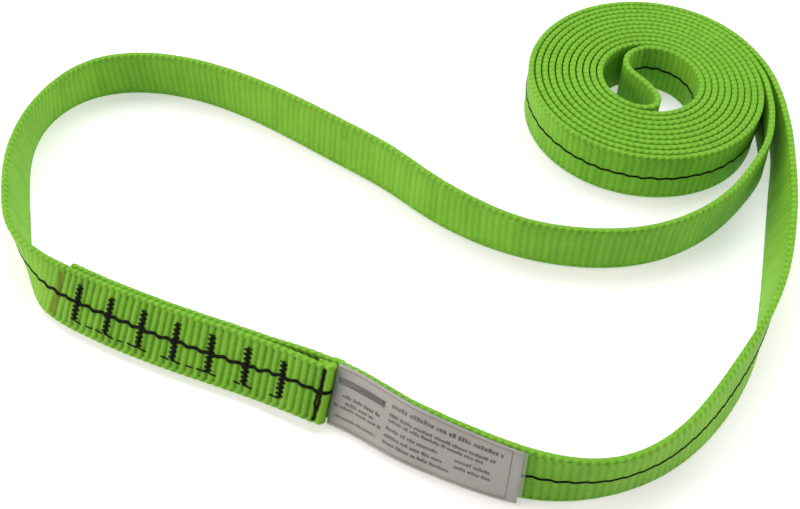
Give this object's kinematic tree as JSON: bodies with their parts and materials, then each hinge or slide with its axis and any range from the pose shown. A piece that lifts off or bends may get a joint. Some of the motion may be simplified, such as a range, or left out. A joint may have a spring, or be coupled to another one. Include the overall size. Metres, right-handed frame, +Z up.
{
  "type": "round sling",
  "caption": "Endless flat webbing lifting sling with a sewn splice and label, half of it wound in a flat roll and half lying open as a loop.",
  "frame": {"origin": "centre of the sling's bounding box, on the floor it lies on", "axes": "+X along the sling's longest extent towards the roll's side, +Y from the label's side to the roll's side, +Z up"},
  "size_m": [0.3527, 0.2691, 0.0271],
  "materials": {
    "webbing": "woven polyester, matte",
    "tracer_yarn": "woven yarn, matte",
    "stitch_thread": "sewing thread, matte",
    "ink": "faint ink stain",
    "label_stock": "satin",
    "clear_film": "clear, glossy",
    "label_print": "printed line"
  },
  "bodies": {
    "loop": {"web_upper_run": "webbing", "web_left_bend": "webbing", "web_splice_front": "webbing", "web_hem_fold": "webbing", "web_splice_back": "webbing", "web_right_bend": "webbing", "web_right_run": "webbing", "bar_tack_1": "stitch_thread", "bar_tack_2": "stitch_thread", "bar_tack_3": "stitch_thread", "bar_tack_4": "stitch_thread", "bar_tack_5": "stitch_thread", "bar_tack_6": "stitch_thread", "bar_tack_7": "stitch_thread", "edge_stitch": "stitch_thread", "hem_stitch_1": "stitch_thread", "hem_stitch_2": "stitch_thread", "ink_mark": "ink", "tracer_upper": "tracer_yarn", "tracer_left": "tracer_yarn", "tracer_splice": "tracer_yarn", "tracer_right": "tracer_yarn"},
    "label": {"label_sleeve": "clear_film", "label_insert": "label_stock", "label_border": "label_print"},
    "roll": {"web_roll_outer": "webbing", "web_roll_inner": "webbing", "web_core_fold": "webbing", "tracer_roll": "tracer_yarn", "tracer_core": "tracer_yarn", "tracer_fold": "tracer_yarn"}
  },
  "joints": [
    {"name": "label_flap", "type": "hinge", "parent": "loop", "child": "label", "pos_m": [-0.02689, -0.09527, 0.01286], "axis": [-0.2064, -0.4553, -0.8661], "range_deg": [0, 70]},
    {"name": "roll_swing", "type": "hinge", "parent": "loop", "child": "roll", "pos_m": [0.1717, 0.0765, 0.0125], "axis": [0, 0, -1], "range_deg": [0, 45]}
  ]
}
